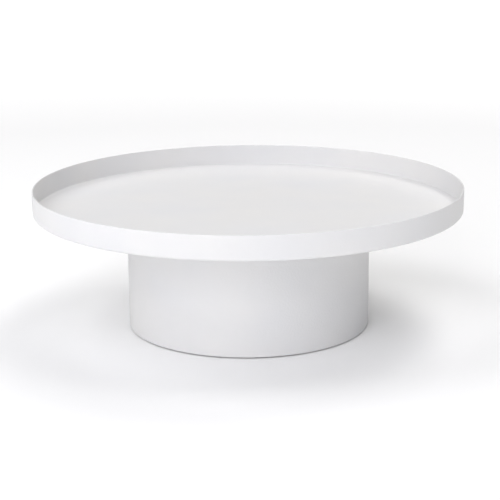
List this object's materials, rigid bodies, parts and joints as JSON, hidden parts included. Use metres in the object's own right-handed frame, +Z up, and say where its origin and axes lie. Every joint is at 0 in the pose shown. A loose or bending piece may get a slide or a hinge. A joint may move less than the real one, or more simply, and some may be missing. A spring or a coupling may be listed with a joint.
{
  "type": "lazy susan turntable",
  "caption": "Round rimmed sheet-metal tray that turns freely on a ring bearing hidden in the top of a plain cylindrical drum base, for serving and sharing at a table.",
  "frame": {"origin": "on the axis of rotation, in the plane that the feet stand on", "axes": "+Z up along the axis of rotation; +X and +Y are level, and the feet stand on the diagonals between them"},
  "size_m": [0.352, 0.352, 0.1175],
  "materials": {
    "powder_coated_steel": "matt white polyester powder coat with a very fine even texture",
    "zinc_plated_steel": "bright zinc plating, clear passivated",
    "anodised_aluminium": "turned, then clear anodised",
    "bearing_steel": "ground and polished",
    "nylon_cage": "natural nylon strip",
    "rubber_feet": "moulded, satin"
  },
  "bodies": {
    "base": {"bearing_outer_ring": "anodised_aluminium", "ball_fill_plug": "anodised_aluminium", "outer_ring_screws": "zinc_plated_steel", "outer_ring_spring_washers": "zinc_plated_steel", "drum_top_plate": "powder_coated_steel", "drum_shell": "powder_coated_steel", "base_ring": "powder_coated_steel", "base_ring_weld_nuts": "zinc_plated_steel", "base_plate": "powder_coated_steel", "base_plate_screws": "zinc_plated_steel", "foot_1": "rubber_feet", "foot_2": "rubber_feet", "foot_3": "rubber_feet", "foot_4": "rubber_feet", "foot_washers": "zinc_plated_steel", "foot_screws": "zinc_plated_steel"},
    "turntable": {"tray": "powder_coated_steel", "tray_pan": "powder_coated_steel", "pan_weld_nuts": "zinc_plated_steel", "bearing_inner_ring": "anodised_aluminium", "inner_ring_screws": "zinc_plated_steel"},
    "ball_set": {"ball_cage": "nylon_cage", "bearing_balls": "bearing_steel"}
  },
  "joints": [
    {"name": "tray_spin", "type": "hinge", "parent": "base", "child": "turntable", "pos_m": [0, 0, 0.0871], "axis": [0, 0, 1], "continuous": true},
    {"name": "cage_roll", "type": "hinge", "parent": "base", "child": "ball_set", "pos_m": [0, 0, 0.0871], "axis": [0, 0, 1], "continuous": true}
  ],
  "couplings": [
    {"joint": "cage_roll", "follows": "tray_spin", "ratio": 0.479}
  ]
}
